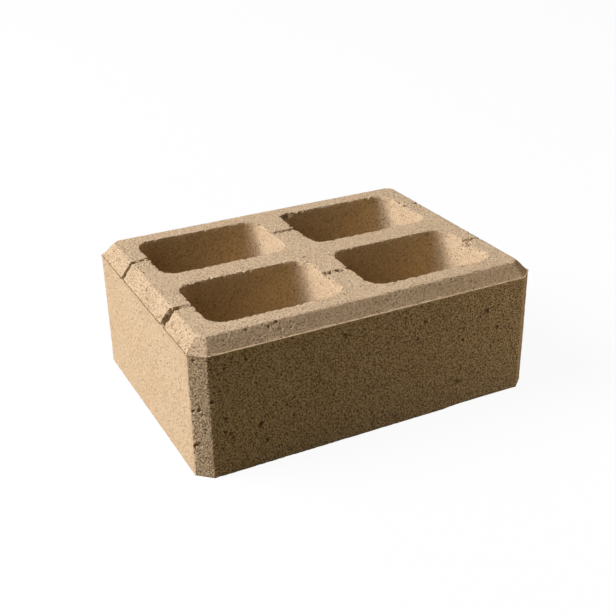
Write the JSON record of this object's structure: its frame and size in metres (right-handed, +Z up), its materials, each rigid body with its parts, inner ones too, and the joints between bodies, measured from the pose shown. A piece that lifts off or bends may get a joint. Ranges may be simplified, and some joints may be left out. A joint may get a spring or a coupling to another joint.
{
  "type": "fence pillar block",
  "caption": "Rectangular hollow concrete block for building fence pillars, with bevelled top edges, cut corners and tapered cells that go right through.",
  "frame": {"origin": "middle of the rectangle that the bottom face fits, at the level of that face", "axes": "+Z up, out of the bevelled top; +X along the long sides; +Y along the short sides"},
  "size_m": [0.395, 0.295, 0.15],
  "materials": {
    "concrete": "matte, sandy beige, fine-grained with open pores"
  },
  "bodies": {
    "root": {"pillar_block": "concrete"}
  },
  "joints": []
}
